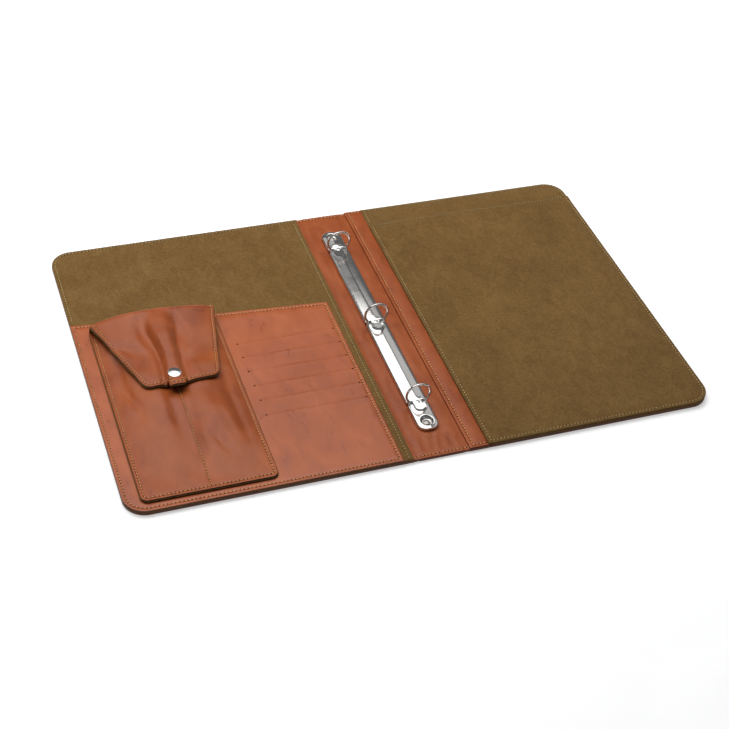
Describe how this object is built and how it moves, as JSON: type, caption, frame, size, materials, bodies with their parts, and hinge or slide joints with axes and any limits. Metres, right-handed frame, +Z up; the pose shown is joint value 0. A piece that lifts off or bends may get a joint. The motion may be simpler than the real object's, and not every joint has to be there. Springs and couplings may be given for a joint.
{
  "type": "leather portfolio case with ring binder",
  "caption": "Zipless leather portfolio case, shown open: suede-lined hinged covers, ring mechanism on the spine, card slits and a snap-flap pen pouch.",
  "frame": {"origin": "middle of the open case's footprint, on the surface that it rests on", "axes": "+X from the left cover with the pen pouch to the right cover with the document pocket, +Y along the spine away from the reader, +Z up out of the open covers"},
  "size_m": [0.525, 0.335, 0.0287],
  "materials": {
    "cognac_leather": "smooth semi-gloss cognac leather with darker pull-up folds and tan stitching",
    "olive_suede": "soft brushed olive-brown suede with pale tan stitching",
    "pocket_fabric": "thin dark woven pocket lining",
    "greyboard": "matte stiff greyboard, hidden between leather and lining",
    "polished_nickel": "bright polished nickel plate",
    "plain_steel": "plain zinc-plated steel"
  },
  "bodies": {
    "spine": {"spine_outer_leather": "cognac_leather", "spine_board": "greyboard", "spine_inner_leather": "cognac_leather", "ring_housing": "polished_nickel", "rivet_near": "plain_steel", "rivet_far": "plain_steel", "rivet_washer_near": "plain_steel", "rivet_washer_far": "plain_steel"},
    "left_cover": {"left_outer_leather": "cognac_leather", "left_board": "greyboard", "left_lining": "olive_suede", "card_panel": "cognac_leather", "card_pocket_1": "pocket_fabric", "card_pocket_2": "pocket_fabric", "card_pocket_3": "pocket_fabric", "card_pocket_4": "pocket_fabric", "card_pocket_5": "pocket_fabric", "card_pocket_6": "pocket_fabric", "pen_pouch_back": "cognac_leather", "pen_pouch_front": "cognac_leather", "snap_stud": "plain_steel"},
    "right_cover": {"right_outer_leather": "cognac_leather", "right_board": "greyboard", "right_lining": "olive_suede", "hinge_strip": "cognac_leather", "document_pocket": "olive_suede"},
    "left_ring_bar": {"left_blade": "plain_steel", "left_half_ring_near": "polished_nickel", "left_half_ring_middle": "polished_nickel", "left_half_ring_far": "polished_nickel"},
    "right_ring_bar": {"right_blade": "plain_steel", "right_half_ring_near": "polished_nickel", "right_half_ring_middle": "polished_nickel", "right_half_ring_far": "polished_nickel"},
    "pen_flap": {"flap_leather": "cognac_leather", "flap_lining": "olive_suede", "snap_cap": "polished_nickel", "snap_socket": "plain_steel"}
  },
  "joints": [
    {"name": "left_cover_fold", "type": "hinge", "parent": "spine", "child": "left_cover", "pos_m": [-0.0183, 0, 0.0015], "axis": [0, 1, 0], "range_deg": [0, 90]},
    {"name": "right_cover_fold", "type": "hinge", "parent": "spine", "child": "right_cover", "pos_m": [0.0263, 0, 0.0015], "axis": [0, -1, 0], "range_deg": [0, 90]},
    {"name": "left_rings_open", "type": "hinge", "parent": "spine", "child": "left_ring_bar", "pos_m": [-0.0044, 0.0015, 0.0054], "axis": [0, -1, 0], "range_deg": [0, 16]},
    {"name": "right_rings_open", "type": "hinge", "parent": "spine", "child": "right_ring_bar", "pos_m": [0.0124, 0.0015, 0.0054], "axis": [0, 1, 0], "range_deg": [0, 16]},
    {"name": "flap_lift", "type": "hinge", "parent": "left_cover", "child": "pen_flap", "pos_m": [-0.192, 0.0495, 0.0145], "axis": [-1, 0, 0], "range_deg": [0, 175]}
  ],
  "couplings": [
    {"joint": "right_rings_open", "follows": "left_rings_open", "ratio": 1}
  ]
}
